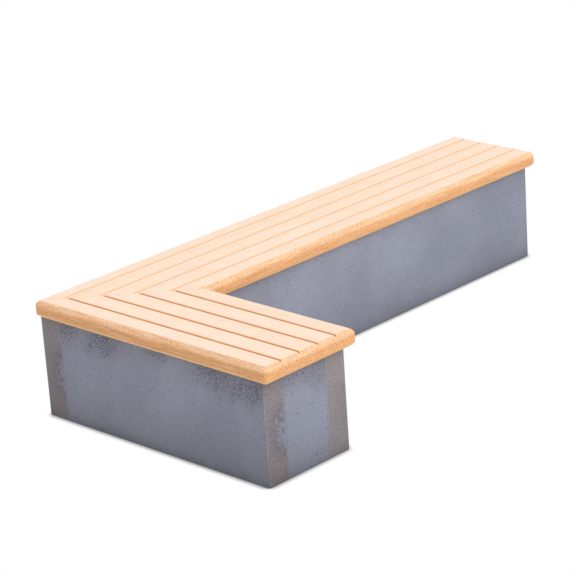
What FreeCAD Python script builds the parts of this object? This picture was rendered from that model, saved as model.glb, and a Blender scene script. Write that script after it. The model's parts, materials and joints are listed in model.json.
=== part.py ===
# L-shaped backless street bench: a timber slat seat on a plinth of precast slabs.
# Units are millimetres, +Z is up, and Z = 0 is the paving that the plinth stands on.
# The seat has a long arm along +X and a short arm along -Y, which meet at the outer corner.
# Sub-parts are drawn in plan as (u, v): u runs from the outer corner along the long arm,
# and v runs from the outer corner along the short arm.
import FreeCAD, Part
import math
import os
from FreeCAD import Vector

os.makedirs("parts", exist_ok=True)

# ---------------------------------------------------------------- seat
seat_height = 460.0          # top of the slats above the paving
long_arm_length = 2410.0     # outer corner to the far end of the long arm
short_arm_length = 1175.0    # outer corner to the far end of the short arm
slat_count = 5               # slats across each arm
slat_cover = 92.0            # width that one slat covers
back_slat_cover = 75.0       # the back slat of the long arm is ripped narrower
slat_thickness = 65.0
edge_bevel = 17.0            # 45 degree bevel along the seat's top edges
lower_bevel = 15.0           # 45 degree bevel along the seat's bottom edges
joint_bevel = 7.0            # each side of the V between two slats
mitre_bevel = 1.5            # each side of the fine V along the mitre
corner_radius = 16.0         # the seat's outer corners, seen from above
under_bevel = 2.0            # arris under each joint between slats
tongue_length = 8.0
tongue_thickness = 12.0
tongue_height = 30.0         # middle of the tongue above the slat's underside
tongue_clearance = 0.5       # at the tongue's tip and at its two cheeks

# ---------------------------------------------------------------- plinth
wall_thickness = 100.0
wall_arris = 2.0             # chamfer round every edge of a slab
overhang_outer = 23.0        # seat beyond the outer face of the short arm's plinth
overhang_inner = 27.0        # seat beyond the faces on the inside of the L
overhang_back = 6.0          # seat beyond the back face of the long arm's plinth
overhang_short_end = 42.0    # seat beyond the plinth at the short arm's end
overhang_long_end = 36.0     # seat beyond the plinth at the long arm's end

# ---------------------------------------------------------------- steelwork
strap_width = 60.0           # flat straps let into the underside of the slats
strap_thickness = 6.0
strap_inset = 12.0           # strap ends inside the plinth's outer faces
rebate_clearance = 0.5       # round the sides of a strap in its rebate
long_strap_count = 5
short_strap_count = 2
strap_end_distance = 190.0   # from the seat's end to the middle of the last strap
strap_mitre_distance = 130.0 # from the inside corner to the middle of the first strap
bracket_leg = 80.0           # angle brackets in the plinth's corners
bracket_thickness = 8.0
bracket_height = 240.0
bracket_base = 80.0          # bracket's lower end above the paving
bracket_bolt_offset = 50.0   # bolt from the bracket's corner
bracket_bolt_rise = 45.0     # bolt from the bracket's ends
plate_half_width = 90.0      # joint plate, each side of the joint that it bridges
cleat_leg = 40.0             # angle cleats that hold the seat down
cleat_thickness = 5.0
cleat_length = 70.0
cleat_screw_spacing = 40.0
cleat_screw_offset = 24.0    # screw from the wall's face
cleat_bolt_drop = 24.0       # bolt below the slats
long_cleat_share = 1         # cleats on each long wall between one strap and the next
short_cleat_share = 2        # the same on each side wall

# ---------------------------------------------------------------- fasteners
screw_radius = 3.0
screw_head_radius = 6.0
screw_head_height = 3.5
screw_depth = 38.0           # how far a screw goes into a slat
screw_point = 6.0
screw_row = 15.0             # screws stand this far either side of a strap's middle
bolt_radius = 5.0
bolt_depth = 70.0            # how far an anchor bolt goes into a slab
bolt_flats = 17.0            # across the flats of its head
bolt_head_height = 7.0
washer_radius = 11.0
washer_thickness = 2.0
pilot_clearance = 0.1        # round a screw or bolt in timber or concrete
hole_clearance = 0.5         # round a screw or bolt in steel



def evenly(first, last, count):
    """Places spread evenly from the first to the last."""
    if count == 1:
        return [(first + last) / 2]
    return [first + (last - first) * n / (count - 1) for n in range(count)]


# ---------------------------------------------------------------- worked out
corner_x = -long_arm_length / 2
corner_y = short_arm_length / 2
under = seat_height - slat_thickness
long_lines = [0.0] + [back_slat_cover + slat_cover * n for n in range(slat_count)]
short_lines = [slat_cover * n for n in range(slat_count + 1)]
long_arm_width = long_lines[-1]
short_arm_width = short_lines[-1]
outer_face = overhang_outer
back_face = overhang_back
inner_u = short_arm_width - overhang_inner
inner_v = long_arm_width - overhang_inner
long_end = long_arm_length - overhang_long_end
short_end = short_arm_length - overhang_short_end
long_strap_runs = evenly(short_arm_width + strap_mitre_distance,
                         long_arm_length - strap_end_distance, long_strap_count)
short_strap_runs = evenly(long_arm_width + strap_mitre_distance,
                          short_arm_length - strap_end_distance, short_strap_count)
UP = Vector(0, 0, 1)


def at(u, v, z):
    """A point of the bench from its distances to the outer corner's two edges."""
    return Vector(corner_x + u, corner_y - v, z)


def spot(arm, run, across, z):
    """A point of an arm, from its run along the arm and its place across it."""
    return at(run, across, z) if arm == "long" else at(across, run, z)


def prism(points, direction):
    """A closed polygon swept along a straight line."""
    face = Part.Face(Part.makePolygon(points + points[:1]))
    return face.extrude(direction)


def slab(u0, u1, v0, v1, z0, z1):
    """An upright block between two plan corners."""
    return Part.makeBox(u1 - u0, v1 - v0, z1 - z0, at(u0, v1, z0))


def save(node, solids):
    """Write one node: a single solid, or a group of separate ones."""
    shape = solids[0] if len(solids) == 1 else Part.makeCompound(solids)
    shape.exportStep("parts/" + node + ".step")
    print(node, len(solids), round(sum(s.Volume for s in solids) / 1000), "cm3")


# ---------------------------------------------------------------- fasteners
def turned(profile, base, axis):
    """Turn a profile of (radius, distance) points about an axis from a base point."""
    points = [Vector(radius, 0, distance) for radius, distance in profile]
    solid = Part.Face(Part.makePolygon(points + points[:1])).revolve(Vector(), UP, 360)
    solid.Placement = FreeCAD.Placement(base, FreeCAD.Rotation(UP, axis))
    return solid


def wood_screw(base, grow=0.0):
    """A countersunk screw pointing up, with its head flush at the base point."""
    radius = screw_radius + grow
    head = screw_head_radius + grow
    top = strap_thickness + screw_depth + grow
    return turned([(0, 0), (head, 0), (radius, screw_head_height + grow),
                   (radius, top - screw_point), (0, top)], base, UP)


def pan_screw(base, grow=0.0):
    """A pan head screw pointing up, its head below the base point and a cleat above it."""
    radius = screw_radius + grow
    top = cleat_thickness + screw_depth + grow
    return turned([(0, -screw_head_height), (screw_head_radius, -screw_head_height),
                   (screw_head_radius, 0), (radius, 0), (radius, top - screw_point),
                   (0, top)], base, UP)


def anchor_bolt(base, axis, thickness):
    """A hexagon bolt with its washer on the base point, driven along the axis."""
    length = thickness + bolt_depth
    shank = turned([(0, -washer_thickness), (washer_radius, -washer_thickness),
                    (washer_radius, 0), (bolt_radius, 0), (bolt_radius, length),
                    (0, length)], base, axis)
    corner = bolt_flats / 2 / math.cos(math.pi / 6)
    angles = [math.pi / 3 * n for n in range(6)]
    ring = [Vector(corner * math.cos(a), corner * math.sin(a), 0) for a in angles]
    head = prism(ring, Vector(0, 0, bolt_head_height))
    seat = base - axis * (washer_thickness + bolt_head_height)
    head.Placement = FreeCAD.Placement(seat, FreeCAD.Rotation(UP, axis))
    return shank.fuse(head).removeSplitter()


def drilled(base, axis, radius, depth):
    """The hole that a fastener goes in."""
    return Part.makeCylinder(radius, depth, base, axis)


# ---------------------------------------------------------------- straps
class Strap:
    """A flat steel strap under the slats, from one plan point to another."""

    def __init__(self, name, start, finish, screws):
        self.name = name
        self.start = Vector(start[0], start[1], 0)
        self.finish = Vector(finish[0], finish[1], 0)
        self.along = (self.finish - self.start).normalize()
        self.side = Vector(-self.along.y, self.along.x, 0)
        self.screws = [at(u, v, under) for u, v in screws]

    def plate(self, grow=0.0):
        half = self.side * (strap_width / 2 + grow)
        ends = [self.start - self.along * grow, self.finish + self.along * grow]
        plan = [ends[0] - half, ends[1] - half, ends[1] + half, ends[0] + half]
        return prism([at(p.x, p.y, under) for p in plan], UP * strap_thickness)

    def solid(self):
        shape = self.plate()
        for base in self.screws:
            shape = shape.cut(wood_screw(base, hole_clearance))
        return shape


def middles(lines):
    """The middle of each slat across an arm."""
    return [(a + b) / 2 for a, b in zip(lines, lines[1:])]


def cross_strap(arm, name, run, lines, low, high):
    """A strap across all the slats of one arm, with two screws into each slat."""
    def plan(r, a):
        return (r, a) if arm == "long" else (a, r)
    screws = []
    for across in middles(lines):
        across = min(max(across, low + screw_row), high - screw_row)
        screws.append(plan(run - screw_row, across - screw_row / 2))
        screws.append(plan(run + screw_row, across + screw_row / 2))
    return Strap(name, plan(run, low), plan(run, high), screws)


def mitre_strap():
    """The strap along the mitre, with a screw into each slat of both arms it can reach."""
    corner = strap_inset + strap_width / 2 * math.sqrt(0.5)
    first = max(outer_face, back_face) + corner
    last = min(inner_u, inner_v) - corner
    end_room = screw_row * math.sqrt(0.5)
    row = screw_row / 2
    joint_room = tongue_length + tongue_clearance + screw_radius + 1.0
    screws = []
    for arm, lines in (("long", long_lines), ("short", short_lines)):
        for a, b in zip(lines, lines[1:]):
            place = min(max((a + b) / 2 + row, first + end_room), last - end_room)
            if a + joint_room <= place - row <= b - screw_head_radius:
                run, across = place + row, place - row
                screws.append((run, across) if arm == "long" else (across, run))
    return Strap("mitre_strap", (first, first), (last, last), screws)


def all_straps():
    straps = []
    low, high = back_face + strap_inset, inner_v - strap_inset
    for n, run in enumerate(long_strap_runs):
        name = "long_strap_%d" % (n + 1)
        straps.append(cross_strap("long", name, run, long_lines, low, high))
    low, high = outer_face + strap_inset, inner_u - strap_inset
    for n, run in enumerate(short_strap_runs):
        name = "short_strap_%d" % (n + 1)
        straps.append(cross_strap("short", name, run, short_lines, low, high))
    straps.append(mitre_strap())
    return straps


# ---------------------------------------------------------------- angles in the plinth
class Fixing:
    """A piece of angle or plate on the walls, with its bolts and its screws."""

    def __init__(self, name, blank, bolts, screws):
        self.name = name
        self.blank = blank
        self.bolts = bolts       # (point on the steel's free face, direction into the wall)
        self.screws = screws     # points on the underside of the cleat's top leg

    def solid(self):
        shape = self.blank
        for base, axis in self.bolts:
            reach = drilled(base - axis, axis, bolt_radius + hole_clearance, bracket_leg / 2)
            shape = shape.cut(reach)
        for base in self.screws:
            radius = screw_radius + hole_clearance
            shape = shape.cut(drilled(base - UP, UP, radius, cleat_thickness + 2))
        return shape


def corner_bracket(name, u, v, du, dv):
    """An upright angle in an inside corner; du and dv point from it into the cavity."""
    z0, z1 = bracket_base, bracket_base + bracket_height

    def leg(width_u, width_v):
        us = sorted([u, u + du * width_u])
        vs = sorted([v, v + dv * width_v])
        return slab(us[0], us[1], vs[0], vs[1], z0, z1)

    blank = leg(bracket_leg, bracket_thickness).fuse(leg(bracket_thickness, bracket_leg))
    blank = blank.removeSplitter()
    bolts = []
    for z in (z0 + bracket_bolt_rise, z1 - bracket_bolt_rise):
        on_v = at(u + du * bracket_bolt_offset, v + dv * bracket_thickness, z)
        on_u = at(u + du * bracket_thickness, v + dv * bracket_bolt_offset, z)
        bolts.append((on_v, Vector(0, dv, 0)))
        bolts.append((on_u, Vector(-du, 0, 0)))
    return Fixing(name, blank, bolts, [])


def joint_plate():
    """The flat plate across the joint between the front wall and the inner side wall."""
    face = inner_v - wall_thickness
    z0, z1 = bracket_base, bracket_base + bracket_height
    left, right = inner_u - plate_half_width, inner_u + plate_half_width
    blank = slab(left, right, face - bracket_thickness, face, z0, z1)
    bolts = []
    for u in (inner_u - bracket_bolt_offset, inner_u + bracket_bolt_offset):
        for z in (z0 + bracket_bolt_rise, z1 - bracket_bolt_rise):
            bolts.append((at(u, face - bracket_thickness, z), Vector(0, -1, 0)))
    return Fixing("joint_plate", blank, bolts, [])


def seat_cleat(name, arm, run, face, way):
    """A cleat on a wall's face; way is +1 or -1, from the wall into the cavity."""
    def span(r0, r1, a0, a1, z0, z1):
        low, high = sorted([a0, a1])
        if arm == "long":
            return slab(r0, r1, low, high, z0, z1)
        return slab(low, high, r0, r1, z0, z1)

    r0, r1 = run - cleat_length / 2, run + cleat_length / 2
    top = span(r0, r1, face, face + way * cleat_leg, under - cleat_thickness, under)
    upright = span(r0, r1, face, face + way * cleat_thickness, under - cleat_leg, under)
    blank = top.fuse(upright).removeSplitter()
    base = spot(arm, run, face + way * cleat_thickness, under - cleat_bolt_drop)
    into = spot(arm, run, face, 0) - spot(arm, run, face + way, 0)
    screws = []
    for shift in (-cleat_screw_spacing / 2, cleat_screw_spacing / 2):
        place = face + way * cleat_screw_offset
        screws.append(spot(arm, run + shift, place, under - cleat_thickness))
    return Fixing(name, blank, [(base, into)], screws)


def between(runs, share):
    """Places that divide each gap between neighbouring runs evenly."""
    places = []
    for a, b in zip(runs, runs[1:]):
        places += [a + (b - a) * (n + 1) / (share + 1) for n in range(share)]
    return places


def all_cleats():
    """Cleats between the straps, on both walls of each arm."""
    cleats = []
    for n, run in enumerate(between(long_strap_runs, long_cleat_share)):
        name = "back_cleat_%d" % (n + 1)
        cleats.append(seat_cleat(name, "long", run, back_face + wall_thickness, 1))
        name = "front_cleat_%d" % (n + 1)
        cleats.append(seat_cleat(name, "long", run, inner_v - wall_thickness, -1))
    for n, run in enumerate(between(short_strap_runs, short_cleat_share)):
        name = "outer_cleat_%d" % (n + 1)
        cleats.append(seat_cleat(name, "short", run, outer_face + wall_thickness, 1))
        name = "inner_cleat_%d" % (n + 1)
        cleats.append(seat_cleat(name, "short", run, inner_u - wall_thickness, -1))
    return cleats


def all_brackets():
    left = outer_face + wall_thickness
    back = back_face + wall_thickness
    front = inner_v - wall_thickness
    right = inner_u - wall_thickness
    end_u = long_end - wall_thickness
    end_v = short_end - wall_thickness
    return [
        corner_bracket("outer_corner_bracket", left, back, 1, 1),
        corner_bracket("short_end_bracket_1", left, end_v, 1, -1),
        corner_bracket("short_end_bracket_2", right, end_v, -1, -1),
        corner_bracket("long_end_bracket_1", end_u, back, -1, 1),
        corner_bracket("long_end_bracket_2", end_u, front, -1, -1),
        joint_plate(),
    ]


# ---------------------------------------------------------------- slats
def slat_section(lines, n):
    """The outline of slat n across its arm, as (across, z) points."""
    a0, a1 = lines[n], lines[n + 1]
    middle = under + tongue_height
    cheek = tongue_thickness / 2
    top = seat_height
    if n == 0:
        low_side = [(a0 + lower_bevel, under), (a0, under + lower_bevel),
                    (a0, top - edge_bevel), (a0 + edge_bevel, top)]
    else:
        depth = a0 + tongue_length + tongue_clearance
        half = cheek + tongue_clearance
        low_side = [(a0 + under_bevel, under), (a0, under + under_bevel),
                    (a0, middle - half), (depth, middle - half),
                    (depth, middle + half), (a0, middle + half),
                    (a0, top - joint_bevel), (a0 + joint_bevel, top)]
    if n == slat_count - 1:
        high_side = [(a1 - edge_bevel, top), (a1, top - edge_bevel),
                     (a1, under + lower_bevel), (a1 - lower_bevel, under)]
    else:
        tip = a1 + tongue_length
        high_side = [(a1 - joint_bevel, top), (a1, top - joint_bevel),
                     (a1, middle + cheek), (tip, middle + cheek),
                     (tip, middle - cheek), (a1, middle - cheek),
                     (a1, under + under_bevel), (a1 - under_bevel, under)]
    return low_side + high_side


def mitre_points(lines, n):
    """The two ends of slat n's 45 degree mitre, as (run, across) points."""
    return Vector(lines[n], lines[n], 0), Vector(lines[n + 1], lines[n + 1], 0)


def mitre_plan(arm, lines, n, length):
    """The plan of slat n between its mitre and its square end."""
    start, finish = mitre_points(lines, n)
    reach = (finish - start) * 0.3
    start, finish = start - reach, finish + reach
    plan = [(start.x, start.y), (length, start.y), (length, finish.y), (finish.x, finish.y)]
    points = [spot(arm, run, across, under) for run, across in plan]
    return prism(points, UP * slat_thickness)


def mitre_groove(arm, lines, n):
    """The fine V along the top of slat n's mitre."""
    start, finish = mitre_points(lines, n)
    along = (finish - start).normalize()
    side = Vector(-along.y, along.x, 0) * mitre_bevel
    start = start - along * slat_cover
    finish = finish + along * slat_cover
    corners = [start - side, start, start + side]
    depths = [0, mitre_bevel, 0]
    points = [spot(arm, c.x, c.y, seat_height - d) for c, d in zip(corners, depths)]
    sweep = spot(arm, finish.x, finish.y, 0) - spot(arm, start.x, start.y, 0)
    return prism(points, sweep)


def end_profile(arm, length, width):
    """The slats' length and bevelled ends, as one block across the arm."""
    top = seat_height
    side = [(-width, under), (length - lower_bevel, under), (length, under + lower_bevel),
            (length, top - edge_bevel), (length - edge_bevel, top), (-width, top)]
    points = [spot(arm, run, -width, z) for run, z in side]
    across = spot(arm, 0, 2 * width, 0) - spot(arm, 0, -width, 0)
    return prism(points, across)


def corner_tool(u, v, du, dv):
    """What is planed off an outer corner of the seat; du and dv point into the seat."""
    us = sorted([u, u + du * corner_radius])
    vs = sorted([v, v + dv * corner_radius])
    block = slab(us[0], us[1], vs[0], vs[1], under, seat_height)
    centre = at(u + du * corner_radius, v + dv * corner_radius, under)
    return block.cut(Part.makeCylinder(corner_radius, slat_thickness, centre, UP))


def all_slats(straps, cleats):
    """Every slat of both arms, with its rebates and its pilot holes."""
    corners = [
        corner_tool(0, 0, 1, 1),
        corner_tool(long_arm_length, 0, -1, 1),
        corner_tool(long_arm_length, long_arm_width, -1, -1),
        corner_tool(0, short_arm_length, 1, -1),
        corner_tool(short_arm_width, short_arm_length, -1, -1),
    ]
    rebates = [strap.plate(rebate_clearance) for strap in straps]
    pilots = [wood_screw(base, pilot_clearance) for s in straps for base in s.screws]
    pilots += [pan_screw(base, pilot_clearance) for c in cleats for base in c.screws]
    tools = corners + rebates + pilots
    slats = {}
    for arm, lines, length in (("long", long_lines, long_arm_length),
                               ("short", short_lines, short_arm_length)):
        ends = end_profile(arm, length, lines[-1])
        for n in range(slat_count):
            section = [spot(arm, 0, a, z) for a, z in slat_section(lines, n)]
            run = spot(arm, length, 0, 0) - spot(arm, 0, 0, 0)
            shape = prism(section, run).common(ends)
            shape = shape.common(mitre_plan(arm, lines, n, length))
            shape = shape.cut(mitre_groove(arm, lines, n))
            near = [t for t in tools if t.BoundBox.intersect(shape.BoundBox)]
            shape = shape.cut(near)
            slats["%s_slat_%d" % (arm, n + 1)] = shape.Solids
    return slats


# ---------------------------------------------------------------- walls
def all_walls(fixings):
    """The six slabs of the plinth, chamfered, with their anchor holes."""
    left = outer_face + wall_thickness
    back = back_face + wall_thickness
    front = inner_v - wall_thickness
    right = inner_u - wall_thickness
    plans = {
        "back_wall": (outer_face, long_end, back_face, back),
        "front_wall": (inner_u, long_end, front, inner_v),
        "outer_side_wall": (outer_face, left, back, short_end),
        "inner_side_wall": (right, inner_u, front, short_end),
        "short_end_wall": (left, right, short_end - wall_thickness, short_end),
        "long_end_wall": (long_end - wall_thickness, long_end, back, front),
    }
    holes = []
    for fixing in fixings:
        for base, axis in fixing.bolts:
            reach = bolt_depth + bracket_thickness
            holes.append(drilled(base, axis, bolt_radius + pilot_clearance, reach))
    walls = {}
    for name, (u0, u1, v0, v1) in plans.items():
        shape = slab(u0, u1, v0, v1, 0, under)
        shape = shape.makeChamfer(wall_arris, shape.Edges)
        near = [h for h in holes if h.BoundBox.intersect(shape.BoundBox)]
        walls[name] = shape.cut(near).Solids
    return walls


# ---------------------------------------------------------------- build
straps = all_straps()
cleats = all_cleats()
brackets = all_brackets()
for name, solids in all_slats(straps, cleats).items():
    save(name, solids)
for name, solids in all_walls(brackets + cleats).items():
    save(name, solids)
for piece in straps + brackets + cleats:
    save(piece.name, [piece.solid()])
save("strap_screws", [wood_screw(base) for strap in straps for base in strap.screws])
save("cleat_screws", [pan_screw(base) for cleat in cleats for base in cleat.screws])
save("cleat_bolts", [anchor_bolt(base, axis, cleat_thickness)
                     for cleat in cleats for base, axis in cleat.bolts])
save("bracket_bolts", [anchor_bolt(base, axis, bracket_thickness)
                       for bracket in brackets for base, axis in bracket.bolts])
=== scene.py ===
# %% [markdown]
# # An L-shaped street bench
# The bench is a timber seat on a plinth of upright slabs. Its design is already made: the
# packed model gives the true size and place of every slat, slab, strap and bolt. This lesson
# gives those pieces the surfaces, softened edges and finishes of the real thing. The first
# step loads the design as a fixed frame.

# %% Load the fixed frame
import json
import math
import random

import bmesh
import bpy
from mathutils import Matrix, Vector


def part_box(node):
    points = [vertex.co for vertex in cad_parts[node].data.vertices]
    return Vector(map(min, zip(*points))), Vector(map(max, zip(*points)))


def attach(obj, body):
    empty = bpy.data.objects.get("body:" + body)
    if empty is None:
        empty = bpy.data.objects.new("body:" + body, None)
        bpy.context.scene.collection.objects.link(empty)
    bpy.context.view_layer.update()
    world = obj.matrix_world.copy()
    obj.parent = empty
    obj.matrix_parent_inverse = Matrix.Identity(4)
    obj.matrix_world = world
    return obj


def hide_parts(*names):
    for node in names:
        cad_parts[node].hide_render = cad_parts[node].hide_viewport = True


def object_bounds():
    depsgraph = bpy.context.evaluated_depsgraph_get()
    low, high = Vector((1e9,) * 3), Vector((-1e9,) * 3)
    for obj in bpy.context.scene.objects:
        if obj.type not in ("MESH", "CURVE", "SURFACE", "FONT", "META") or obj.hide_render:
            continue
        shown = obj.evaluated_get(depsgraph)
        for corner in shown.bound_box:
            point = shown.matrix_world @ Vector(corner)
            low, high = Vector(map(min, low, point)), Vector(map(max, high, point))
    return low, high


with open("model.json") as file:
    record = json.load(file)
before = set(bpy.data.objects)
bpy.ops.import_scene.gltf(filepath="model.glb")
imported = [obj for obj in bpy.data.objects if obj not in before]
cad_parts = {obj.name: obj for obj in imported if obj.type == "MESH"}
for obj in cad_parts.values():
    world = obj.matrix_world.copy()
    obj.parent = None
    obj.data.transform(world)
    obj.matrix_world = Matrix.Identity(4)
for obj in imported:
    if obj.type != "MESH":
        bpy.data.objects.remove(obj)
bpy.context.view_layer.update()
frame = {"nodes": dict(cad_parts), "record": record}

# %% [markdown]
# ## Camera
# A long lens from far away keeps the two arms nearly parallel, as in a catalogue. The
# camera is set by where it stands and by three angles: the azimuth turns it round the bench,
# the elevation tips it down, and a small roll leans the view. Its axes are worked out with
# cross products, so that each angle keeps its plain meaning.

# %% Camera
CAMERA_PLACE = Vector((-6.547, -5.987, 3.532))
CAMERA_AZIMUTH = math.radians(-45.42)
CAMERA_ELEVATION = math.radians(20.16)
CAMERA_ROLL = math.radians(-3.94)
CAMERA_LENS = 153.0


def camera_axes(azimuth, elevation, roll):
    """The camera's right, up and backward directions."""
    level = Vector((math.cos(azimuth), math.sin(azimuth), 0))
    back = Vector((math.sin(azimuth) * math.cos(elevation),
                   -math.cos(azimuth) * math.cos(elevation), math.sin(elevation)))
    upright = back.cross(level)
    right = level * math.cos(roll) + upright * math.sin(roll)
    return right, back.cross(right), back


def add_camera():
    """A camera at its place, looking along its axes."""
    data = bpy.data.cameras.new("camera")
    data.lens = CAMERA_LENS
    data.clip_end = 100
    camera = bpy.data.objects.new("camera", data)
    turn = Matrix(camera_axes(CAMERA_AZIMUTH, CAMERA_ELEVATION, CAMERA_ROLL)).transposed()
    camera.matrix_world = Matrix.Translation(CAMERA_PLACE) @ turn.to_4x4()
    bpy.context.scene.collection.objects.link(camera)
    bpy.context.scene.camera = camera
    print("camera with a", CAMERA_LENS, "mm lens at", tuple(CAMERA_PLACE))


add_camera()

# %% [markdown]
# ## Writing node trees as sums
# Materials and Geometry Nodes are both trees of nodes. Written out socket by socket, even a
# short sum fills a page. Here one small class wraps a socket, so that `1 - mask * 0.5` adds
# the Math nodes by itself, and one method adds any other node from its type, its settings and
# the values of its sockets.

# %% A socket that can be written in sums
class Value:
    """A socket of a node tree, with the arithmetic that the tree can do."""

    def __init__(self, tree, socket):
        self.tree = tree
        self.socket = socket

    def __add__(self, other):
        return self.tree.maths("ADD", self, other)

    def __radd__(self, other):
        return self.tree.maths("ADD", other, self)

    def __sub__(self, other):
        return self.tree.maths("SUBTRACT", self, other)

    def __rsub__(self, other):
        return self.tree.maths("SUBTRACT", other, self)

    def __mul__(self, other):
        return self.tree.maths("MULTIPLY", self, other)

    def __rmul__(self, other):
        return self.tree.maths("MULTIPLY", other, self)

    def __truediv__(self, other):
        return self.tree.maths("DIVIDE", self, other)

    def __pow__(self, other):
        return self.tree.maths("POWER", self, other)

    def __rpow__(self, other):
        return self.tree.maths("POWER", other, self)


class Tree:
    """A node tree that is written with expressions."""

    def __init__(self, nodes):
        self.nodes = nodes.nodes
        self.links = nodes.links

    def add(self, kind, settings=None, sockets=None):
        """A node of any type, with its settings first and then its sockets."""
        node = self.nodes.new(kind)
        for name, value in (settings or {}).items():
            setattr(node, name, value)
        for name, value in (sockets or {}).items():
            if isinstance(value, Value):
                self.links.new(value.socket, node.inputs[name])
            else:
                node.inputs[name].default_value = value
        return node

    def value(self, kind, settings=None, sockets=None, output=0):
        """One output of a new node."""
        return Value(self, self.add(kind, settings, sockets).outputs[output])

    def maths(self, operation, *values):
        """A Math node."""
        sockets = dict(enumerate(values))
        return self.value("ShaderNodeMath", {"operation": operation}, sockets)

    def low(self, a, b):
        """The lower of two numbers."""
        return self.maths("MINIMUM", a, b)

    def high(self, a, b):
        """The higher of two numbers."""
        return self.maths("MAXIMUM", a, b)

    def between(self, value, low, high, start=0.0, finish=1.0):
        """A smooth step: start below low, finish above high."""
        sockets = {0: value, 1: low, 2: high, 3: start, 4: finish}
        settings = {"interpolation_type": "SMOOTHSTEP"}
        return self.value("ShaderNodeMapRange", settings, sockets)

    def vector(self, x, y, z):
        """A vector from three numbers."""
        return self.value("ShaderNodeCombineXYZ", None, {0: x, 1: y, 2: z})

    def parts(self, vector):
        """The three numbers of a vector."""
        node = self.add("ShaderNodeSeparateXYZ", None, {0: vector})
        return [Value(self, output) for output in node.outputs]

    def scaled(self, vector, factors):
        """A vector times three factors."""
        settings = {"operation": "MULTIPLY"}
        return self.value("ShaderNodeVectorMath", settings, {0: vector, 1: factors})

    def mix(self, factor, first, second):
        """A blend of two colours."""
        settings = {"data_type": "RGBA"}
        return self.value("ShaderNodeMix", settings, {0: factor, 6: first, 7: second}, 2)

    def noise(self, vector, scale, detail=2.0, roughness=0.5, output=0):
        """Smooth noise from 0 to 1, centred on 0.5."""
        sockets = {"Vector": vector, "Scale": scale, "Detail": detail,
                   "Roughness": roughness}
        return self.value("ShaderNodeTexNoise", None, sockets, output)


print("a value knows", sum(name.endswith("__") for name in vars(Value)), "special methods")

# %% [markdown]
# ## One tree for every board and slab
# Slats and slabs are the same kind of thing: a section that runs straight from one end to the
# other. A Geometry Nodes tree sweeps the section's outline along a row of stations, then
# moves each point to its true place. A slat starts at a mitre, so the start of each point
# depends on how far across the arm it lies. At the ends the section is pressed down by a
# given drop, which cuts the bevel; an outer corner is rounded in plan in the same way. Each
# section point also has a weight for wander, the small unevenness that sanding leaves along
# an edge. A drawn mesh could be bevelled by hand, but then a change of one size would mean
# drawing sixteen pieces again.

# %% The tree: its inputs
BOARD_INPUTS = [
    ("Path", "NodeSocketObject"), ("Finish", "NodeSocketMaterial"),
    ("Corner", "NodeSocketVector"), ("Run axis", "NodeSocketVector"),
    ("Across axis", "NodeSocketVector"), ("Mitred", "NodeSocketFloat"),
    ("Length", "NodeSocketFloat"), ("Underside", "NodeSocketFloat"),
    ("Top", "NodeSocketFloat"), ("Lower bevel", "NodeSocketFloat"),
    ("Round side", "NodeSocketFloat"), ("Round way", "NodeSocketFloat"),
    ("Round radius", "NodeSocketFloat"),
    ("Wander", "NodeSocketFloat"), ("Wander size", "NodeSocketFloat"),
    ("Seed", "NodeSocketFloat"), ("Mark", "NodeSocketFloat"),
]


def board_group():
    """An empty tree with the board's inputs and its two geometry sockets."""
    group = bpy.data.node_groups.new("board from a section", "GeometryNodeTree")
    face = group.interface
    face.new_socket("Geometry", in_out="OUTPUT", socket_type="NodeSocketGeometry")
    face.new_socket("Section", in_out="INPUT", socket_type="NodeSocketGeometry")
    for name, kind in BOARD_INPUTS:
        face.new_socket(name, in_out="INPUT", socket_type=kind)
    return group


print(len(BOARD_INPUTS), "inputs beside the section")

# %% The tree: steps that repeat
def keep_numbers(tree, geometry, names):
    """Store the three numbers of each point's position under names of their own."""
    place = tree.value("GeometryNodeInputPosition")
    for name, number in zip(names, tree.parts(place)):
        geometry = tree.value("GeometryNodeStoreNamedAttribute",
                              {"data_type": "FLOAT", "domain": "POINT"},
                              {"Geometry": geometry, "Name": name, "Value": number})
    return geometry


def recall(tree, name):
    """A number that was stored earlier."""
    return tree.value("GeometryNodeInputNamedAttribute", {"data_type": "FLOAT"},
                      {"Name": name})


def store_on_faces(tree, geometry, name, number):
    """Store a number on each face."""
    return tree.value("GeometryNodeStoreNamedAttribute",
                      {"data_type": "FLOAT", "domain": "FACE"},
                      {"Geometry": geometry, "Name": name, "Value": number})


def sweep(tree, section, path):
    """A closed tube from the section's outline along the path's stations."""
    section = keep_numbers(tree, section, ["weight", "across", "height"])
    shown = tree.value("GeometryNodeObjectInfo", None, {"Object": path}, "Geometry")
    stations = keep_numbers(tree, shown, ["from_start", "from_end", "drop"])
    curves = []
    for mesh, flat in ((stations, (1, 0, 0)), (section, (0, 1, 1))):
        place = tree.value("GeometryNodeInputPosition")
        x, y, z = tree.parts(tree.scaled(place, flat))
        spread = tree.vector(x, 0, 0) if flat[0] else tree.vector(y, z, 0)
        mesh = tree.value("GeometryNodeSetPosition", None,
                          {"Geometry": mesh, "Position": spread})
        curves.append(tree.value("GeometryNodeMeshToCurve", None, {"Mesh": mesh}))
    return tree.value("GeometryNodeCurveToMesh", None,
                      {"Curve": curves[0], "Profile Curve": curves[1], "Fill Caps": True})


# %% The tree: where each point goes
END_ZONE = 0.03


def rounded_across(tree, given, across, from_end, run):
    """Across, pressed in where the point lies on a rounded outer corner."""
    radius = given["Round radius"]
    side = (across - given["Round side"]) * given["Round way"]
    least = radius * (1 - math.sqrt(0.5))
    reach = tree.low(tree.high(run, least) + (1 - given["Mitred"]), from_end)
    left = tree.high(radius - reach, 0)
    arc = radius - tree.maths("SQRT", tree.high(radius * radius - left * left, 0))
    return given["Round side"] + given["Round way"] * tree.high(side, arc)


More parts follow.
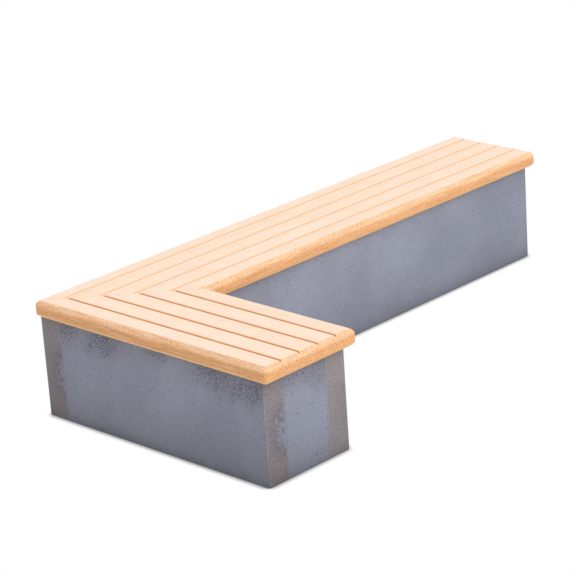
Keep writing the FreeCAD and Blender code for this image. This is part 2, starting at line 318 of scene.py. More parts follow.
def place_points(tree, given, mesh):
    """Move every point of the swept tube to its place on the bench."""
    across, height = recall(tree, "across"), recall(tree, "height")
    from_start, from_end = recall(tree, "from_start"), recall(tree, "from_end")
    drop, weight = recall(tree, "drop"), recall(tree, "weight")
    # each point's own noise, shifted by the board's seed
    seed = tree.vector(given["Seed"], from_start * 0, from_start * 0)
    spot = tree.vector(from_start, across, height)
    spot = tree.value("ShaderNodeVectorMath", {"operation": "ADD"}, {0: spot, 1: seed})
    drift = tree.noise(spot, given["Wander size"], 3.0, 0.6, output="Color")
    sway, lift, _ = tree.parts(drift)
    amount = given["Wander"] * tree.high(weight, 0)
    across = across + (sway - 0.5) * 2 * amount
    height = height + (lift - 0.5) * amount
    # near an end a point keeps its distance from it, and between the ends it is in proportion
    along = from_start + from_end - 2 * END_ZONE
    share = tree.high(tree.low((from_start - END_ZONE) / along, 1), 0)
    start = across * given["Mitred"]
    run = (1 - share) * (start + from_start) + share * (given["Length"] - from_end)
    across = rounded_across(tree, given, across, from_end, run)
    run = tree.high(run, across * given["Mitred"])
    # the end's bevels press the section down from the top and up from below
    height = tree.low(height, given["Top"] - drop)
    raised = tree.high(given["Lower bevel"] - from_end, 0)
    height = tree.high(height, given["Underside"] + raised)
    place = given["Corner"]
    for axis, number in (("Run axis", run), ("Across axis", across)):
        step = tree.value("ShaderNodeVectorMath", {"operation": "SCALE"},
                          {0: given[axis], 3: number})
        place = tree.value("ShaderNodeVectorMath", {"operation": "ADD"},
                           {0: place, 1: step})
    place = tree.value("ShaderNodeVectorMath", {"operation": "ADD"},
                       {0: place, 1: tree.vector(height * 0, height * 0, height)})
    return tree.value("GeometryNodeSetPosition", None, {"Geometry": mesh, "Position": place})


# %% The tree: faces, edges and the finish
MERGE_DISTANCE = 0.00005
SHARP_ANGLE = math.radians(28)


def board_tree():
    """The whole tree, from the section to a finished board."""
    group = board_group()
    tree = Tree(group)
    entry = tree.add("NodeGroupInput")
    given = {name: Value(tree, entry.outputs[name]) for name, _ in BOARD_INPUTS}
    section = Value(tree, entry.outputs["Section"])
    mesh = sweep(tree, section, given["Path"])
    mesh = place_points(tree, given, mesh)
    mesh = tree.value("GeometryNodeMergeByDistance", None,
                      {"Geometry": mesh, "Distance": MERGE_DISTANCE})
    normal = tree.value("GeometryNodeInputNormal", None, None, "True Normal")
    facing = tree.value("ShaderNodeVectorMath", {"operation": "DOT_PRODUCT"},
                        {0: normal, 1: given["Run axis"]}, "Value")
    mesh = store_on_faces(tree, mesh, "end_face", tree.maths("ABSOLUTE", facing))
    mesh = store_on_faces(tree, mesh, "mark", given["Mark"])
    angle = tree.value("GeometryNodeInputMeshEdgeAngle")
    sharp = tree.maths("GREATER_THAN", angle, SHARP_ANGLE)
    mesh = tree.value("GeometryNodeStoreNamedAttribute",
                      {"data_type": "BOOLEAN", "domain": "EDGE"},
                      {"Geometry": mesh, "Name": "sharp_edge", "Value": sharp})
    mesh = tree.value("GeometryNodeSetShadeSmooth", None, {"Geometry": mesh})
    mesh = tree.value("GeometryNodeRealizeInstances", None, {"Geometry": mesh})
    mesh = tree.value("GeometryNodeSetMaterial", None,
                      {"Geometry": mesh, "Material": given["Finish"]})
    tree.add("NodeGroupOutput", None, {"Geometry": mesh})
    return group


BOARD_TREE = board_tree()
print("board tree", len(BOARD_TREE.nodes), "nodes")

# %% [markdown]
# ## Outlines with softened corners
# No sanded or cast edge is knife sharp. Outlines are written with their true corners, and this
# helper replaces each corner by a short arc of the radius that its point asks for. The same
# helper shapes the sections and the bevel at the end of a board.

# %% Soften an outline
ARC_STEPS = 3
STRAIGHT = math.radians(175)
SIDE_SHARE = 0.45


def arc_at(before, corner, after, radius):
    """Points of the arc that rounds one corner, or the corner itself if it is straight."""
    a, b = (before - corner).normalized(), (after - corner).normalized()
    angle = a.angle(b)
    if radius <= 0 or angle > STRAIGHT:
        return [corner]
    reach = radius / math.tan(angle / 2)
    shorter_side = min((before - corner).length, (after - corner).length)
    reach = min(reach, shorter_side * SIDE_SHARE)
    radius = reach * math.tan(angle / 2)
    centre = corner + (a + b).normalized() * (radius / math.sin(angle / 2))
    first, last = corner + a * reach - centre, corner + b * reach - centre
    turn = math.pi - angle
    points = []
    for n in range(ARC_STEPS + 1):
        t = n / ARC_STEPS
        mixed = first * math.sin((1 - t) * turn) + last * math.sin(t * turn)
        points.append(centre + mixed / math.sin(turn))
    return points


def softened(points, closed):
    """An outline of (x, y, radius) corners as a list of (x, y) points."""
    flat = [Vector((x, y)) for x, y, _ in points]
    count = len(points)
    outline = []
    for n, (x, y, radius) in enumerate(points):
        if not closed and n in (0, count - 1):
            outline.append(flat[n])
        else:
            outline += arc_at(flat[n - 1], flat[n], flat[(n + 1) % count], radius)
    return outline


square = [(0, 0, 0.1), (1, 0, 0.1), (1, 1, 0.1), (0, 1, 0.1)]
print("a softened square has", len(softened(square, True)), "points")

# %% Turn an outline or a row of stations into a mesh for the tree
def wire(name, points, closed):
    """A mesh of edges only, through the points in order."""
    last = len(points) if closed else len(points) - 1
    edges = [(n, (n + 1) % len(points)) for n in range(last)]
    mesh = bpy.data.meshes.new(name)
    mesh.from_pydata(points, edges, [])
    thing = bpy.data.objects.new(name, mesh)
    bpy.context.scene.collection.objects.link(thing)
    return thing


def discard(*things):
    """Remove objects and the meshes that only they used."""
    for thing in things:
        mesh = thing.data
        bpy.data.objects.remove(thing)
        bpy.data.meshes.remove(mesh)


# %% Bake a board
def set_inputs(modifier, values):
    """Set a modifier's inputs by name, through their identifiers."""
    sockets = {item.name: item for item in BOARD_TREE.interface.items_tree
               if item.in_out == "INPUT"}
    for name, value in values.items():
        modifier[sockets[name].identifier] = value


def bake_board(name, section, stations, values, rebates=None):
    """Sweep one board, cut its rebates and return it as a plain mesh object."""
    source = wire(name + " section", section, True)
    path = wire(name + " path", stations, False)
    modifier = source.modifiers.new("board", "NODES")
    modifier.node_group = BOARD_TREE
    set_inputs(modifier, dict(values, Path=path))
    if rebates is not None:
        cutter = source.modifiers.new("rebates", "BOOLEAN")
        cutter.operation = "DIFFERENCE"
        cutter.solver = "EXACT"
        cutter.object = rebates
    graph = bpy.context.evaluated_depsgraph_get()
    mesh = bpy.data.meshes.new_from_object(source.evaluated_get(graph))
    mesh.name = name
    discard(source, path)
    form = bmesh.new()
    form.from_mesh(mesh)
    bmesh.ops.recalc_face_normals(form, faces=form.faces)
    form.to_mesh(mesh)
    form.free()
    piece = bpy.data.objects.new(name, mesh)
    bpy.context.scene.collection.objects.link(piece)
    return piece


# %% [markdown]
# ## Timber finish
# The seat is a pale, close-grained timber, planed on top and cut on its edges. A planed face
# shows almost no figure, only a faint mottling and a slight difference from board to board.
# Cut faces and bevels are warmer, darker and fibrous, and faces that look down get painted
# light, as if bounced up from the table. The shader tells them apart by how far a face leans
# from level, so the same finish suits the tops, the joints and the edges. Grain follows each
# board, so the finish is made once for each arm, with its own stretch and its own painted
# shade at the foot of the joints, darker on the short arm, whose grooves face away from the
# light.

# %% Timber
MM = 0.001
EDGE_BEVEL = 17 * MM
LOWER_BEVEL = 15 * MM
JOINT_BEVEL = 7 * MM


def plain_finish(name):
    """A new material with its tree and its surface shader."""
    finish = bpy.data.materials.new(name)
    finish.use_nodes = True
    tree = Tree(finish.node_tree)
    shader = finish.node_tree.nodes["Principled BSDF"]
    return finish, tree, shader


def connect(tree, shader, colour=None, roughness=None, normal=None):
    """Send what varies over the surface to the shader."""
    for name, value in (("Base Color", colour), ("Roughness", roughness),
                        ("Normal", normal)):
        if value is not None:
            tree.links.new(value.socket, shader.inputs[name])


def attribute(tree, name):
    """A number that the board tree stored on the mesh."""
    return tree.value("ShaderNodeAttribute", {"attribute_name": name}, None, "Fac")


def colour(red, green, blue):
    """A colour from its three display values, as the shader's linear numbers."""
    def linear(v):
        v = v / 255
        return v / 12.92 if v <= 0.04045 else ((v + 0.055) / 1.055) ** 2.4
    return (linear(red), linear(green), linear(blue), 1.0)


PLANED = colour(245, 222, 204)
PLANED_WARM = colour(239, 210, 184)
PLANED_NICK = colour(232, 186, 146)
CUT = colour(246, 190, 136)
CUT_DARK = colour(212, 148, 94)
SANDED = colour(248, 211, 174)
SANDED_DARK = colour(226, 164, 112)
# painted bounce light for faces that look down, standing in for light from the table below
UNDER_EDGE_BOUNCE_LIGHT = colour(255, 198, 132)
PORE = colour(140, 124, 120)
MITRE_SHADE = 0.003
BOARD_TONE = 0.12


def timber(name, stretch, groove):
    """The seat's timber, with its grain stretched along one arm, and painted shade in its
    joints.
    """
    finish, tree, shader = plain_finish(name)
    place = tree.value("ShaderNodeTexCoord", None, None, "Object")
    geometry = tree.add("ShaderNodeNewGeometry")
    lean = tree.parts(Value(tree, geometry.outputs["Normal"]))[2]
    along = tree.scaled(place, stretch)
    grain = tree.noise(along, 60, 4, 0.6)
    cloud = tree.noise(place, 9, 2, 0.5)
    fibre = tree.noise(along, 260, 2, 0.6)
    fleck = tree.noise(place, 210, 2, 0.65)
    # the planed top, with its faint mottling and a few nicks
    tint = (cloud - 0.5) * 0.9 + (grain - 0.5) * 0.9 + (fleck - 0.5) * 2.6
    tint = tint + attribute(tree, "mark") * BOARD_TONE
    planed = tree.mix(tree.between(tint, -0.5, 0.5), PLANED, PLANED_WARM)
    nick = tree.between(tree.noise(place, 75, 2, 0.6), 0.70, 0.80)
    planed = tree.mix(nick * 0.6, planed, PLANED_NICK)
    # edges: fibrous where cut and paler where sanded; faces that look down get painted bounce
    # light
    vein = tree.noise(along, 120, 3, 0.65)
    speck = tree.between(vein * 0.3 + fibre * 0.25 + fleck * 0.45, 0.36, 0.64)
    cut = tree.mix(speck, CUT_DARK, CUT)
    rub = tree.between(fleck * 0.6 + vein * 0.4, 0.38, 0.62)
    sanded = tree.mix(rub, SANDED_DARK, SANDED)
    edge = tree.mix(tree.between(lean + (fleck - 0.5) * 0.3, 0.1, 0.65), cut, sanded)
    # faces that look down get painted light, as if bounced up from the white table
    under = tree.mix(speck * 0.5 + 0.5, CUT, UNDER_EDGE_BOUNCE_LIGHT)
    edge = tree.mix(tree.between(lean, -0.65, -0.15, 1.0, 0.0), edge, under)
    pore = tree.between(tree.noise(place, 190, 1, 0.4), 0.70, 0.75)
    edge = tree.mix(pore * tree.between(cloud, 0.45, 0.6) * 0.7, edge, PORE)
    # the foot of each joint's V gets painted shade, which runs out where the end bevel starts
    foot = 0 - attribute(tree, "weight")
    valley = foot - attribute(tree, "drop") / JOINT_BEVEL
    depth = tree.between(valley + (fleck - 0.5) * 0.3 + nick * 0.4, 0.05, 0.35)
    top = tree.between(lean + (fleck - 0.5) * 0.3, 0.86, 0.99)
    top = tree.high(top, tree.between(valley, 0.0, 0.02) * 0.75)
    shown = tree.mix(top, edge, planed)
    # a thin line of the same painted shade marks the mitre
    mitre = tree.between(attribute(tree, "from_start"), 0, MITRE_SHADE, 1.0, 0.0)
    shown = tree.mix(tree.high(depth, mitre * 0.35), shown, groove)
    roughness = 0.62 + (fibre - 0.5) * 0.2
    ridge = fleck * (1 - top * 0.85) + grain * 0.3
    normal = tree.value("ShaderNodeBump", None,
                        {"Strength": 0.4, "Distance": 0.0012, "Height": ridge})
    connect(tree, shader, shown, roughness, normal)
    shader.inputs["Specular IOR Level"].default_value = 0.25
    return finish


ALONG_X = (0.06, 1, 1)
ALONG_Y = (1, 0.06, 1)
# painted shade for the foot of each arm's joints; the short arm's grooves face away from the
# light
LONG_GROOVE_SHADE = colour(230, 176, 126)
SHORT_GROOVE_SHADE = colour(206, 130, 44)
LONG_TIMBER = timber("timber along the long arm", ALONG_X, LONG_GROOVE_SHADE)
SHORT_TIMBER = timber("timber along the short arm", ALONG_Y, SHORT_GROOVE_SHADE)
print("timber finish", len(LONG_TIMBER.node_tree.nodes), "nodes")

# %% [markdown]
# ## Sizes of the seat, read from the frame
# The outer corner of the seat is where the first slats meet, and each slat's cover is the
# distance from its outer edge to the next one's. Both come from the design's boxes. The
# softer sizes, such as the radius of an arris, are the maker's and belong to this script.

# %% Seat sizes
SLATS = 5
seat_low, seat_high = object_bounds()
SEAT_TOP = seat_high.z
CORNER = Vector((seat_low.x, seat_high.y, 0))
LONG_LENGTH = seat_high.x - seat_low.x
SHORT_LENGTH = seat_high.y - seat_low.y
SEAT_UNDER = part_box("long_slat_1")[0].z
MITRE_BEVEL = 1.5 * MM
CORNER_RADIUS = 16 * MM
UNDER_BEVEL = 2 * MM
TONGUE_LENGTH = 8 * MM
TONGUE_HALF = 6 * MM
TONGUE_HEIGHT = 30 * MM
TONGUE_GAP = 0.5 * MM
SOFT_CREST = 9 * MM
SOFT_SHOULDER = 22 * MM
SOFT_RIM = 9 * MM
SOFT_JOINT = 3 * MM


def lines_across(arm):
    """The edges of an arm's slats, as distances from its outer edge."""
    lines = [0.0]
    for n in range(SLATS):
        low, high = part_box("%s_slat_%d" % (arm, n + 1))
        inner = CORNER.y - low.y if arm == "long" else high.x - CORNER.x
        lines.append(inner - (TONGUE_LENGTH if n < SLATS - 1 else 0))
    return lines


LONG_LINES = lines_across("long")
SHORT_LINES = lines_across("short")
print("long arm's slats", [round(v, 4) for v in LONG_LINES])
print("short arm's slats", [round(v, 4) for v in SHORT_LINES])

# %% [markdown]
# ## Slats
# A slat's section is its outline seen from the end: a wide bevel where it is an outside edge,
# a small one where it meets its neighbour, a tongue on one side and a groove on the other.
# Ten slats share the board tree and differ only in their numbers. The straps that hold them
# together are let into their undersides, so each slat is cut by blocks of the straps' shape.

# %% A slat's section
def slat_section(lines, n):
    """The outline of slat n, as (wander weight, across, height) points."""
    a0, a1 = lines[n], lines[n + 1]
    middle = SEAT_UNDER + TONGUE_HEIGHT
    if n == 0:
        low_side = [(a0 + LOWER_BEVEL, SEAT_UNDER, SOFT_RIM),
                    (a0, SEAT_UNDER + LOWER_BEVEL, SOFT_RIM),
                    (a0, SEAT_TOP - EDGE_BEVEL, SOFT_SHOULDER),
                    (a0 + EDGE_BEVEL, SEAT_TOP, SOFT_CREST)]
    else:
        depth, half = a0 + TONGUE_LENGTH + TONGUE_GAP, TONGUE_HALF + TONGUE_GAP
        low_side = [(a0 + UNDER_BEVEL, SEAT_UNDER, 0), (a0, SEAT_UNDER + UNDER_BEVEL, 0),
                    (a0, middle - half, 0), (depth, middle - half, 0),
                    (depth, middle + half, 0), (a0, middle + half, 0),
                    (a0, SEAT_TOP - JOINT_BEVEL, 0), (a0 + JOINT_BEVEL, SEAT_TOP, SOFT_JOINT)]
    if n == SLATS - 1:
        high_side = [(a1 - EDGE_BEVEL, SEAT_TOP, SOFT_CREST),
                     (a1, SEAT_TOP - EDGE_BEVEL, SOFT_SHOULDER),
                     (a1, SEAT_UNDER + LOWER_BEVEL, SOFT_RIM),
                     (a1 - LOWER_BEVEL, SEAT_UNDER, SOFT_RIM)]
    else:
        tip = a1 + TONGUE_LENGTH
        high_side = [(a1 - JOINT_BEVEL, SEAT_TOP, SOFT_JOINT), (a1, SEAT_TOP - JOINT_BEVEL, 0),
                     (a1, middle + TONGUE_HALF, 0), (tip, middle + TONGUE_HALF, 0),
                     (tip, middle - TONGUE_HALF, 0), (a1, middle - TONGUE_HALF, 0),
                     (a1, SEAT_UNDER + UNDER_BEVEL, 0), (a1 - UNDER_BEVEL, SEAT_UNDER, 0)]
    outline = softened(low_side + high_side, True)
    return [(wander_weight(p, a0, a1), p.x, p.y) for p in outline]


def wander_weight(point, a0, a1):
    """How far a point may wander; -1 marks the foot of a joint's V."""
    across, height = point
    to_joint = min(abs(across - a0) if a0 > 0 else 1, abs(across - a1))
    if abs(height - (SEAT_TOP - JOINT_BEVEL)) < MM and to_joint < MM:
        return -1.0
    if height < SEAT_TOP - EDGE_BEVEL / 3 or to_joint < MM:
        return 0.0
    return -0.02 if to_joint < JOINT_BEVEL * 1.5 else 1.0


print("the first slat's section has", len(slat_section(LONG_LINES, 0)), "points")

# %% The stations along a slat
STATION_STEP = 24 * MM


def drop_at(ends, place):
    """The end bevel's drop between two of its known places."""
    before = max(e for e in ends if e <= place)
    after = min(e for e in ends if e >= place)
    if before == after:
        return ends[before]
    share = (place - before) / (after - before)
    return ends[before] + (ends[after] - ends[before]) * share


def slat_stations(length):
    """Stations as (from the mitre, from the end, drop) for a slat of that length."""
    bevel = [(length / 2, 0.0, 0.0), (EDGE_BEVEL, 0.0, SOFT_CREST),
             (0.0, EDGE_BEVEL, SOFT_SHOULDER), (0.0, length / 2, 0.0)]
    ends = {round(p.x, 6): p.y for p in softened(bevel, False)[1:-1]}
    for share in (0.1, 0.25, 0.45, 0.7):
        place = round(CORNER_RADIUS * share, 6)
        ends[place] = drop_at(ends, place)
    starts = {0.0: MITRE_BEVEL, MITRE_BEVEL: 0.0}
    for share in (0.25, 0.4, 0.55, 0.75, 1.0, 1.4):
        starts[CORNER_RADIUS * share] = 0.0
    first, last = CORNER_RADIUS * 2, max(ends) + STATION_STEP
    count = math.ceil((length - first - last) / STATION_STEP)
    places = [first + (length - first - last) * n / count for n in range(count + 1)]
    stations = [(s, length - s, drop) for s, drop in sorted(starts.items())]
    stations += [(s, length - s, 0.0) for s in places]
    stations += [(length - e, e, drop) for e, drop in sorted(ends.items(), reverse=True)]
    return stations


# %% Rebates for the straps
def box_mesh(name, boxes):
    """A mesh of closed boxes, each given by its four plan corners and two heights."""
    form = bmesh.new()
    for plan, low, high in boxes:
        rows = [[form.verts.new((p.x, p.y, z)) for p in plan] for z in (low, high)]
        form.faces.new(rows[0][::-1])
        form.faces.new(rows[1])
        for n in range(4):
            m = (n + 1) % 4
            form.faces.new((rows[0][n], rows[0][m], rows[1][m], rows[1][n]))
    bmesh.ops.recalc_face_normals(form, faces=form.faces)
    mesh = bpy.data.meshes.new(name)
    form.to_mesh(mesh)
    form.free()
    thing = bpy.data.objects.new(name, mesh)
    bpy.context.scene.collection.objects.link(thing)
    return thing


def strap_plan(node, grow):
    """The four plan corners of a strap's rebate."""
    low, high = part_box(node)
    if node != "mitre_strap":
        low, high = low - Vector((grow, grow, 0)), high + Vector((grow, grow, 0))
        return [Vector(p) for p in ((low.x, low.y), (high.x, low.y), (high.x, high.y),
                                    (low.x, high.y))]
    cross_low, cross_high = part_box("long_strap_1")
    width = cross_high.x - cross_low.x
    lean = Vector((1, -1)).normalized()
    side = Vector((1, 1)).normalized() * (width / 2 + grow)
    inset = width / 2 * math.sqrt(0.5)
    start = Vector((low.x + inset, high.y - inset)) - lean * grow
    finish = Vector((high.x - inset, low.y + inset)) + lean * grow
    return [start - side, finish - side, finish + side, start + side]


REBATE_GAP = 0.5 * MM
STRAPS = sorted(n for n in frame["nodes"] if n.endswith("strap") or "_strap_" in n)
strap_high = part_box("long_strap_1")[1].z
rebates = box_mesh("rebates", [(strap_plan(n, REBATE_GAP), SEAT_UNDER - 10 * MM, strap_high)
                               for n in STRAPS])
print(len(STRAPS), "rebates")


# %% Make the ten slats
ARMS = {
    "long": (LONG_LINES, LONG_LENGTH, Vector((1, 0, 0)), Vector((0, -1, 0)),
             LONG_TIMBER),
    "short": (SHORT_LINES, SHORT_LENGTH, Vector((0, -1, 0)), Vector((1, 0, 0)),
              SHORT_TIMBER),
}
SLAT_WANDER = 1.8 * MM
seeds = random.Random(5)


def rounding(lines, n):
    """Which side of slat n is an outside edge, and which way is into the slat."""
    if n == 0:
        return {"Round side": lines[0], "Round way": 1.0, "Round radius": CORNER_RADIUS}
    if n == SLATS - 1:
        return {"Round side": lines[-1], "Round way": -1.0, "Round radius": CORNER_RADIUS}
    return {"Round side": lines[n], "Round way": 1.0, "Round radius": 0.0}


def make_slat(arm, n):
    """One slat of one arm, in place of its design node."""
    lines, length, run_axis, across_axis, finish = ARMS[arm]
    values = {"Corner": CORNER, "Run axis": run_axis, "Across axis": across_axis,
              "Mitred": 1.0, "Length": length, "Underside": SEAT_UNDER, "Top": SEAT_TOP,
              "Lower bevel": LOWER_BEVEL,
              "Wander": SLAT_WANDER, "Wander size": 18.0, "Seed": seeds.uniform(0, 50),
              "Mark": seeds.uniform(-1, 1), "Finish": finish, **rounding(lines, n)}
    middle = (lines[n] + lines[n + 1]) / 2
    stations = slat_stations(length - middle)
    node = "%s_slat_%d" % (arm, n + 1)
    piece = bake_board("seat_" + node, slat_section(lines, n), stations, values, rebates)
    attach(piece, "root")
    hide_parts(node)
    print(piece.name, len(piece.data.polygons), "faces")


for arm in ARMS:
    for n in range(SLATS):
        make_slat(arm, n)
discard(rebates)

# %% [markdown]
# ## Slab finish
# The plinth's slabs are cast, sawn to length and coated on their faces. The coating is a
# smooth blue-grey; under the seat it leaves dark specks and slanting brush marks, and more of
# them near a slab's ends. The sawn ends were left raw, brown-grey and grainy, with smears of
# coating that strayed over them. All of it gets painted shade toward the ground, where the
# shadowed floor beside the plinth sends up less light. Whether a face is a raw end is stored
# on the mesh by the board tree. Marks could be painted by hand, but noise that leans and
# thickens with height covers all six slabs at once.

# %% Coated and raw slab
COATING = colour(146, 149, 165)
COATING_DEEP = colour(132, 135, 151)
COATING_DARK = colour(74, 76, 92)
RAW = colour(163, 155, 157)
RAW_DARK = colour(108, 101, 107)
# how dark the painted shade at the foot of a slab is and how soon it halves, each with what a
# full mark adds
GROUND_SHADE = (0.42, 0.13)
GROUND_HALF = (0.060, 0.012)
SLAB_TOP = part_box("back_wall")[1].z
SLAB_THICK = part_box("back_wall")[1].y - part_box("back_wall")[0].y


def coating(tree, place, mark, to_end):
    """The coating's colour, and how deep its marks are."""
    x, y, z = tree.parts(place)
    cloud = tree.noise(place, 3.5, 3, 0.55)
    grit = tree.noise(place, 260, 2, 0.6)
    # strokes lean along the slab as they rise, and gather under the seat and near its ends
    stroke = tree.vector(x + z * 0.58, y + z * 0.58, z * 0.35)
    streak = tree.noise(stroke, 170, 3, 0.65)
    patch = tree.noise(stroke, 6, 2, 0.5)
    rise = tree.between(z, 0.12, SLAB_TOP)
    near_end = tree.between(to_end, 0.0, 0.35, 1.0, 0.0) * rise
    cover = tree.between(patch * 0.75 + rise * 0.43 + near_end * 0.13, 0.62, 0.95) * mark
    need = 0.68 - cover * 0.22
    marks = tree.between(streak + (grit - 0.5) * 0.35, need, need + 0.08)
    pit = tree.noise(place, 120, 1, 0.4) + (grit - 0.5) * 0.25 + mark * 0.05
    pits = tree.between(pit, 0.71, 0.76)
    shade = tree.between(cloud + (grit - 0.5) * 0.5, 0.25, 0.75)
    coat = tree.mix(shade, COATING, COATING_DEEP)
    coat = tree.mix(cover * 0.25, coat, COATING_DARK)
    dark = tree.high(marks * 0.75, pits * 0.6)
    return tree.mix(dark, coat, COATING_DARK), dark


def strayed_coating(tree, place, mark, grit):
    """Where coating strayed over a raw end, and how scuffed the raw end is there."""
    x, y, z = tree.parts(place)
    across = attribute(tree, "across")
    smear = tree.noise(tree.vector(x + z * 0.4, y + z * 0.4, z * 0.35), 70, 4, 0.75)
    middle = tree.between(z, 0.06, 0.14) * tree.between(z, 0.22, 0.32, 1.0, 0.0)
    reach = tree.between(across, -0.02, SLAB_THICK) * middle * mark * 0.31
    smears = tree.between(smear + reach + (grit - 0.5) * 0.5, 0.70, 0.78)
    side = tree.low(across, SLAB_THICK - across) + (smear + grit - 1) * 0.020
    return tree.high(smears, tree.between(side, 0.001, 0.005, 1.0, 0.0)), reach


def slab_finish():
    """The coated faces and raw ends of the plinth's slabs, with painted shade toward the
    ground.
    """
    finish, tree, shader = plain_finish("coated slab")
    place = tree.value("ShaderNodeTexCoord", None, None, "Object")
    mark = attribute(tree, "mark")
    to_end = tree.low(attribute(tree, "from_start"), attribute(tree, "from_end"))
    coat, dark = coating(tree, place, mark, to_end)
    fine = tree.noise(place, 170, 3, 0.7)
    grit = tree.noise(place, 330, 2, 0.6)
    strayed, scuffed = strayed_coating(tree, place, mark, grit)
    grain = fine * 0.4 + grit * 0.6 - mark * 0.05 - scuffed * 0.4
    raw = tree.mix(tree.between(grain, 0.30, 0.62), RAW_DARK, RAW)
    bare = tree.between(to_end + (fine + grit - 1) * 0.016, 0.001, 0.004, 1.0, 0.0)
    is_end = tree.between(attribute(tree, "end_face"), 0.5, 0.9)
    bare = is_end * (1 - strayed * 0.9) + (1 - is_end) * bare * 0.7
    shown = tree.mix(bare, coat, raw)
    # painted shade toward the ground, deeper and taller on slabs with a higher mark
    height = tree.parts(place)[2]
    reach = mark * GROUND_HALF[1] + GROUND_HALF[0]
    shade = (mark * GROUND_SHADE[1] + GROUND_SHADE[0]) * 0.5 ** (height / reach)
    shown = tree.mix(shade, shown, (0.0, 0.0, 0.0, 1.0))
    roughness = 0.48 + bare * 0.3 + (fine - 0.5) * 0.15
    ridge = bare * grit * 1.2 + fine * 0.15 - dark * 0.5
    normal = tree.value("ShaderNodeBump", None,
                        {"Strength": 0.5, "Distance": 0.001, "Height": ridge})
    connect(tree, shader, shown, roughness, normal)
    shader.inputs["Specular IOR Level"].default_value = 0.3
    return finish


SLAB_FINISH = slab_finish()
print("slab finish", len(SLAB_FINISH.node_tree.nodes), "nodes")

# %% [markdown]
# ## Slabs
# A slab is a plain board standing on edge, so it comes from the same tree with a square
# section. Its length runs along its longest side in plan. Cast arrises are small, and a
# little unevenness keeps them from looking machined.

# %% Make the six slabs
SLAB_ARRIS = 2.5 * MM
SLAB_WANDER = 0.5 * MM
# how far the coating is marked on each slab, from 0 to 1; a higher mark also deepens the
# painted shade at the foot
WALLS = {"back_wall": 0.85, "front_wall": 0.25, "outer_side_wall": 1.0,
         "inner_side_wall": 0.35, "short_end_wall": 0.6, "long_end_wall": 0.5}


def slab_section(width, height):
    """The outline of a slab's section."""
    corners = [(0, 0, SLAB_ARRIS), (0, height, SLAB_ARRIS), (width, height, SLAB_ARRIS),
               (width, 0, SLAB_ARRIS)]
    return [(0.0, p.x, p.y) for p in softened(corners, True)]


def slab_stations(length):
    """Stations as (from the start, from the end, drop) with a small arris at both ends."""
    arris = [(length / 2, 0.0, 0.0), (0.0, 0.0, SLAB_ARRIS), (0.0, length / 2, 0.0)]
    ends = {round(p.x, 6): p.y for p in softened(arris, False)[1:-1]}
    stations = [(e, length - e, drop) for e, drop in sorted(ends.items())]
    step = (length - 2 * max(ends)) / math.ceil(length / (STATION_STEP * 4))
    count = round((length - 2 * max(ends)) / step)
    stations += [(max(ends) + step * n, length - max(ends) - step * n, 0.0)
                 for n in range(1, count)]
    stations += [(length - e, e, drop) for e, drop in sorted(ends.items(), reverse=True)]
    return stations


def make_slab(node):
    """One slab, in place of its design node."""
    low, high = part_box(node)
    size = high - low
    along_x = size.x > size.y
    length, width = (size.x, size.y) if along_x else (size.y, size.x)
    run_axis = Vector((1, 0, 0)) if along_x else Vector((0, -1, 0))
    across_axis = Vector((0, -1, 0)) if along_x else Vector((1, 0, 0))
    values = {"Corner": Vector((low.x, high.y, 0)), "Run axis": run_axis,
              "Across axis": across_axis, "Mitred": 0.0,
              "Length": length, "Underside": low.z, "Top": high.z, "Lower bevel": SLAB_ARRIS,
              "Round side": 0.0, "Round way": 1.0, "Round radius": 0.0,
              "Wander": SLAB_WANDER, "Wander size": 30.0, "Seed": seeds.uniform(0, 50),
              "Mark": WALLS[node], "Finish": SLAB_FINISH}
    piece = bake_board("plinth_" + node, slab_section(width, size.z), slab_stations(length),
                       values)
    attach(piece, "root")
    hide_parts(node)
    print(piece.name, len(piece.data.polygons), "faces")


for wall in WALLS:
    make_slab(wall)

# %% [markdown]
# ## Steel inside the bench
# The straps, cleats, brackets and their fasteners are only seen from underneath. Their design
# nodes have the right shape, so they only need finishes. Galvanised steel shows spangle, the
# patchwork of zinc crystals, and zinc plated fasteners are brighter and finer. A Voronoi
# texture gives such a patchwork, because each of its cells has one random colour.

# %% Galvanised steel and zinc
def zinc(name, light, dark, scale, roughness):
    """Zinc on steel, with crystals of the given scale."""
    finish, tree, shader = plain_finish(name)
    place = tree.value("ShaderNodeTexCoord", None, None, "Object")
    crystal = tree.value("ShaderNodeTexVoronoi", None,
                         {"Vector": place, "Scale": scale}, "Color")
    shade = tree.parts(crystal)[0]
    dust = tree.noise(place, scale * 3, 3, 0.6)
    tone = shade * 0.6 + dust * 0.4
    shown = tree.mix(tree.between(tone, 0.2, 0.8), colour(*dark), colour(*light))
    normal = tree.value("ShaderNodeBump", None,
                        {"Strength": 0.2, "Distance": 0.0003, "Height": dust})
    connect(tree, shader, shown, roughness + (dust - 0.5) * 0.3, normal)
    shader.inputs["Metallic"].default_value = 1.0
    return finish


GALVANISED = zinc("galvanised steel", (186, 190, 193), (140, 145, 150), 90, 0.42)
PLATED = zinc("zinc plated", (205, 206, 200), (168, 170, 168), 400, 0.3)
slots = {row["node"]: row["material_slot"] for row in frame["record"]["subparts"]}
for name, node in frame["nodes"].items():
    if slots[name] in ("galvanised_steel", "zinc_fastener"):
        finish = PLATED if slots[name] == "zinc_fastener" else GALVANISED
        node.data.materials.clear()
        node.data.materials.append(finish)
print("steel nodes finished")

# %% [markdown]
# ## Floor and light
# Small furniture is often shown on a white table lit so well that it reads as pure
# white, with only a thin shadow where the piece stands. Here the table is a wide white dish
# whose rim curves up out of sight. It gives its own light to the camera and lets the studio's
# light pass, and its shadow comes from how closed in each point is: the Ambient Occlusion
# node darkens only what lies within a few centimetres of the plinth.

# %% A white table with a contact shadow
CONTACT_REACH = 0.037
CONTACT_DARK = 0.38
CONTACT_CLEAR = 0.90


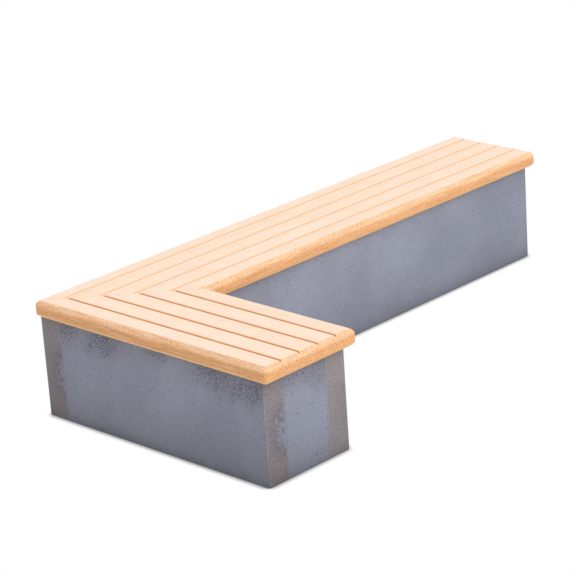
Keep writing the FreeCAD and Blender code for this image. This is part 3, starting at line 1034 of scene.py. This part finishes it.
def table_finish():
    """White that darkens only beside the plinth."""
    finish, tree, shader = plain_finish("white table")
    open_share = tree.value("ShaderNodeAmbientOcclusion", None,
                            {"Distance": CONTACT_REACH}, "AO")
    sockets = {0: open_share, 1: CONTACT_DARK, 2: CONTACT_CLEAR, 3: 0.0, 4: 1.0}
    shade = tree.value("ShaderNodeMapRange", None, sockets)
    shown = tree.mix(shade, (0, 0, 0, 1), (1, 1, 1, 1))
    tree.links.new(shown.socket, shader.inputs["Emission Color"])
    shader.inputs["Emission Strength"].default_value = 1.0
    shader.inputs["Base Color"].default_value = (0, 0, 0, 1)
    shader.inputs["Specular IOR Level"].default_value = 0.0
    return finish


def add_table():
    """A dish from rings: flat in the middle, with a rim that curves up."""
    rings = [(0.0, 0.0), (20.0, 0.0), (25.0, 0.8), (28.5, 3.5), (30.0, 8.0), (30.0, 20.0)]
    sides = 96
    form = bmesh.new()
    rows = []
    for radius, height in rings[1:]:
        angles = [2 * math.pi * n / sides for n in range(sides)]
        rows.append([form.verts.new((radius * math.cos(a), radius * math.sin(a), height))
                     for a in angles])
    form.faces.new(rows[0])
    for inner, outer in zip(rows, rows[1:]):
        for n in range(sides):
            m = (n + 1) % sides
            form.faces.new((inner[n], outer[n], outer[m], inner[m]))
    mesh = bpy.data.meshes.new("table")
    form.to_mesh(mesh)
    form.free()
    table = bpy.data.objects.new("table", mesh)
    bpy.context.scene.collection.objects.link(table)
    table.data.materials.append(table_finish())
    table.visible_diffuse = False
    table.visible_shadow = False
    print("table", rings[-1][0] * 2, "m across")


add_table()

# %% [markdown]
# The studio is bright overhead and bright from below, and darker round the sides, so upright
# faces keep their modelling. A broad sun, half way up in front of the short arm, lifts the
# tops and the faces that look its way.

# %% Studio light
STUDIO_SIDE = 0.58
STUDIO_SPREAD = 0.52
STUDIO_TILT = -0.10
SUN_WIDTH = math.radians(50)
SUN_FROM = Vector((0.0, -0.35, 0.355))


def add_studio():
    """Soft light from all round, brighter from above and below than from the sides."""
    world = bpy.data.worlds.new("studio")
    world.use_nodes = True
    tree = Tree(world.node_tree)
    way = tree.value("ShaderNodeTexCoord", None, None, "Generated")
    up = tree.parts(way)[2]
    level = STUDIO_SIDE + STUDIO_SPREAD * up * up + STUDIO_TILT * up
    background = world.node_tree.nodes["Background"]
    background.inputs["Color"].default_value = (1, 1, 1, 1)
    tree.links.new(level.socket, background.inputs["Strength"])
    bpy.context.scene.world = world


def add_sun():
    """A broad sun that shines from the given side."""
    data = bpy.data.lights.new("broad sun", "SUN")
    data.energy = SUN_FROM.length * math.pi
    data.angle = SUN_WIDTH
    light = bpy.data.objects.new("broad sun", data)
    light.rotation_euler = (-SUN_FROM).to_track_quat("-Z", "Y").to_euler()
    bpy.context.scene.collection.objects.link(light)


add_studio()
add_sun()
bpy.context.scene.view_settings.view_transform = "Standard"
print("sun of strength", round(SUN_FROM.length * math.pi, 2))

# %% [markdown]
